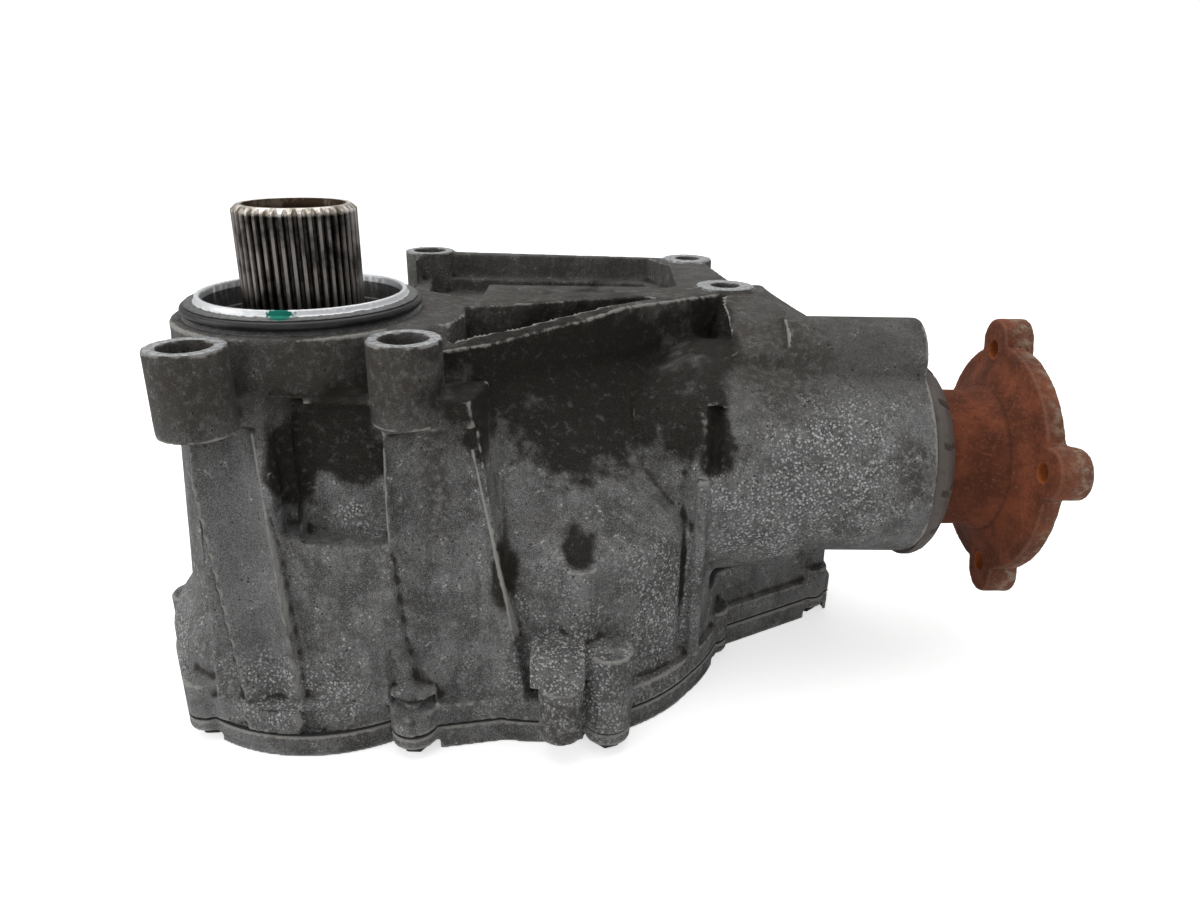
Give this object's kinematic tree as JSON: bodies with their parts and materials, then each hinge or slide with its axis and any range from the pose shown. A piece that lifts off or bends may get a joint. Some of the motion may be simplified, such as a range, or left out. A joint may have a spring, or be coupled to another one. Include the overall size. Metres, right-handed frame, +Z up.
{
  "type": "transfer case",
  "caption": "Right-angle transfer case: cast case and cover, hollow splined input, helical and bevel gears on taper bearings, and a flanged output shaft.",
  "frame": {"origin": "where the input shaft's axis meets the plane of the mounting bosses", "axes": "+Z up along the input shaft out of the spigot, +X along the output shaft towards its flange"},
  "size_m": [0.4045, 0.2573, 0.2106],
  "materials": {
    "cast_case": "oxidised cast aluminium, stained by oil",
    "cast_cover": "oxidised cast aluminium, dull",
    "gasket": "matt",
    "zinc_fasteners": "dull plated steel",
    "ground_steel": "ground",
    "soft_washer": "soft aluminium",
    "seal_rubber": "oiled rubber",
    "dark_steel": "dark steel with bright tooth tips",
    "gear_steel": "case hardened, oiled",
    "rusted_iron": "red-brown rust",
    "deflector_steel": "dull, dusty"
  },
  "bodies": {
    "case": {"case": "cast_case", "cover": "cast_cover", "cover_gasket": "gasket", "cover_bolts": "zinc_fasteners", "cover_pins": "ground_steel", "fill_plug": "zinc_fasteners", "fill_plug_washer": "soft_washer", "drain_plug": "zinc_fasteners", "drain_plug_washer": "soft_washer", "spigot_o_ring": "seal_rubber", "input_seal": "seal_rubber", "cover_seal": "seal_rubber", "pinion_seal": "seal_rubber", "upper_input_bearing_cup": "ground_steel", "lower_input_bearing_cup": "ground_steel", "upper_transfer_bearing_cup": "ground_steel", "lower_transfer_bearing_cup": "ground_steel", "head_bearing_cup": "ground_steel", "tail_bearing_cup": "ground_steel"},
    "input_shaft": {"input_shaft": "dark_steel", "input_gear": "gear_steel", "input_shim": "ground_steel", "upper_input_bearing_cone": "ground_steel", "lower_input_bearing_cone": "ground_steel"},
    "transfer_shaft": {"transfer_shaft": "gear_steel", "transfer_gear": "gear_steel", "ring_gear": "gear_steel", "ring_gear_bolts": "zinc_fasteners", "transfer_shim": "ground_steel", "upper_transfer_bearing_cone": "ground_steel", "lower_transfer_bearing_cone": "ground_steel"},
    "output_shaft": {"pinion_shaft": "gear_steel", "pinion_shim": "ground_steel", "pinion_spacer": "ground_steel", "companion_flange": "rusted_iron", "pinion_washer": "rusted_iron", "pinion_nut": "rusted_iron", "mud_deflector": "deflector_steel", "head_bearing_cone": "ground_steel", "tail_bearing_cone": "ground_steel"},
    "upper_input_rollers": {"upper_input_bearing_rollers": "ground_steel", "upper_input_bearing_cage": "ground_steel"},
    "lower_input_rollers": {"lower_input_bearing_rollers": "ground_steel", "lower_input_bearing_cage": "ground_steel"},
    "upper_transfer_rollers": {"upper_transfer_bearing_rollers": "ground_steel", "upper_transfer_bearing_cage": "ground_steel"},
    "lower_transfer_rollers": {"lower_transfer_bearing_rollers": "ground_steel", "lower_transfer_bearing_cage": "ground_steel"},
    "head_rollers": {"head_bearing_rollers": "ground_steel", "head_bearing_cage": "ground_steel"},
    "tail_rollers": {"tail_bearing_rollers": "ground_steel", "tail_bearing_cage": "ground_steel"}
  },
  "joints": [
    {"name": "input_spin", "type": "hinge", "parent": "case", "child": "input_shaft", "pos_m": [0, 0, 0], "axis": [0, 0, 1], "continuous": true},
    {"name": "transfer_spin", "type": "hinge", "parent": "case", "child": "transfer_shaft", "pos_m": [0.10308, 0.02, 0], "axis": [0, 0, 1], "continuous": true},
    {"name": "output_spin", "type": "hinge", "parent": "case", "child": "output_shaft", "pos_m": [0, 0.02, -0.0725], "axis": [1, 0, 0], "continuous": true},
    {"name": "upper_input_rollers_spin", "type": "hinge", "parent": "case", "child": "upper_input_rollers", "pos_m": [0, 0, 0], "axis": [0, 0, 1], "continuous": true},
    {"name": "lower_input_rollers_spin", "type": "hinge", "parent": "case", "child": "lower_input_rollers", "pos_m": [0, 0, 0], "axis": [0, 0, 1], "continuous": true},
    {"name": "upper_transfer_rollers_spin", "type": "hinge", "parent": "case", "child": "upper_transfer_rollers", "pos_m": [0.10308, 0.02, 0], "axis": [0, 0, 1], "continuous": true},
    {"name": "lower_transfer_rollers_spin", "type": "hinge", "parent": "case", "child": "lower_transfer_rollers", "pos_m": [0.10308, 0.02, 0], "axis": [0, 0, 1], "continuous": true},
    {"name": "head_rollers_spin", "type": "hinge", "parent": "case", "child": "head_rollers", "pos_m": [0, 0.02, -0.0725], "axis": [1, 0, 0], "continuous": true},
    {"name": "tail_rollers_spin", "type": "hinge", "parent": "case", "child": "tail_rollers", "pos_m": [0, 0.02, -0.0725], "axis": [1, 0, 0], "continuous": true}
  ],
  "couplings": [
    {"joint": "transfer_spin", "follows": "input_spin", "ratio": -1.3636},
    {"joint": "output_spin", "follows": "input_spin", "ratio": -2.3485},
    {"joint": "upper_input_rollers_spin", "follows": "input_spin", "ratio": 0.4526},
    {"joint": "lower_input_rollers_spin", "follows": "input_spin", "ratio": 0.45952},
    {"joint": "upper_transfer_rollers_spin", "follows": "input_spin", "ratio": -0.59242},
    {"joint": "lower_transfer_rollers_spin", "follows": "input_spin", "ratio": -0.59242},
    {"joint": "head_rollers_spin", "follows": "input_spin", "ratio": -1.0342},
    {"joint": "tail_rollers_spin", "follows": "input_spin", "ratio": -1.0074}
  ]
}
